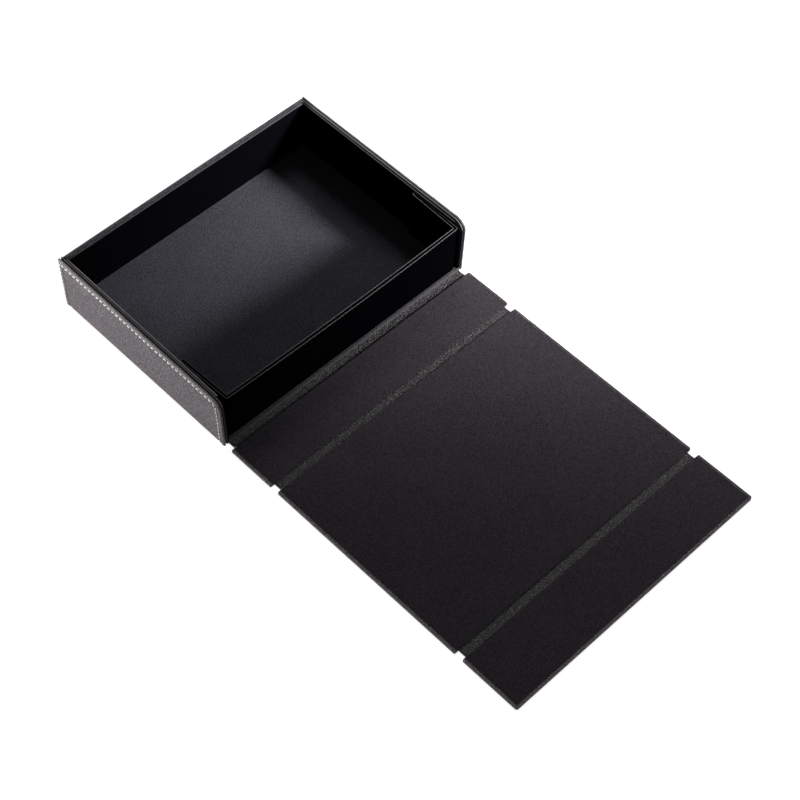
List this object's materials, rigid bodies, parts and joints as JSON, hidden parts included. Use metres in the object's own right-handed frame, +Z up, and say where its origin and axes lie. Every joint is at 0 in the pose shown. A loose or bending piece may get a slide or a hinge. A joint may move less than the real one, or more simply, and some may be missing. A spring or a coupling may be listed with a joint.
{
  "type": "dice storage chest",
  "caption": "Open tray box for dice and cards with a leather-covered panel cover that folds over its front, top and back and is held shut by hidden magnets.",
  "frame": {"origin": "centre of the tray's underside, on the surface that the box stands on", "axes": "+X along the long side of the tray, +Y from the hinged front to the back wall, +Z up"},
  "size_m": [0.1954, 0.3789, 0.0422],
  "materials": {
    "leather": "black, pebble-grained, semi-matt",
    "card": "black, uncoated",
    "microfibre": "near-black, smooth short nap",
    "magnet": "nickel-plated"
  },
  "bodies": {
    "box": {"base_leather": "leather", "base_card": "card", "base_cloth": "microfibre", "left_side_leather": "leather", "left_side_card": "card", "left_side_backing": "leather", "left_side_liner": "microfibre", "right_side_leather": "leather", "right_side_card": "card", "right_side_backing": "leather", "right_side_liner": "microfibre", "back_leather": "leather", "back_card": "card", "back_liner": "microfibre", "back_magnets": "magnet", "front_wall_card": "card", "front_wall_cloth": "microfibre", "floor_card": "card", "floor_cloth": "microfibre", "front_groove_near": "leather"},
    "front_strip": {"front_groove_far": "leather", "front_strip_leather": "leather", "front_strip_card": "card", "front_strip_cloth": "microfibre", "lid_groove_near": "leather"},
    "lid": {"lid_groove_far": "leather", "lid_leather": "leather", "lid_card": "card", "lid_cloth": "microfibre", "flap_groove_near": "leather"},
    "closing_flap": {"flap_groove_far": "leather", "closing_flap_leather": "leather", "closing_flap_card": "card", "closing_flap_cloth": "microfibre", "flap_magnets": "magnet"}
  },
  "joints": [
    {"name": "cover_fold", "type": "hinge", "parent": "box", "child": "front_strip", "pos_m": [0, -0.0739, 0.001], "axis": [-1, 0, 0], "range_deg": [0, 90]},
    {"name": "lid_fold", "type": "hinge", "parent": "front_strip", "child": "lid", "pos_m": [0, -0.11655, 0.001], "axis": [-1, 0, 0], "range_deg": [0, 90]},
    {"name": "flap_fold", "type": "hinge", "parent": "lid", "child": "closing_flap", "pos_m": [0, -0.26433, 0.001], "axis": [-1, 0, 0], "range_deg": [0, 90]}
  ]
}
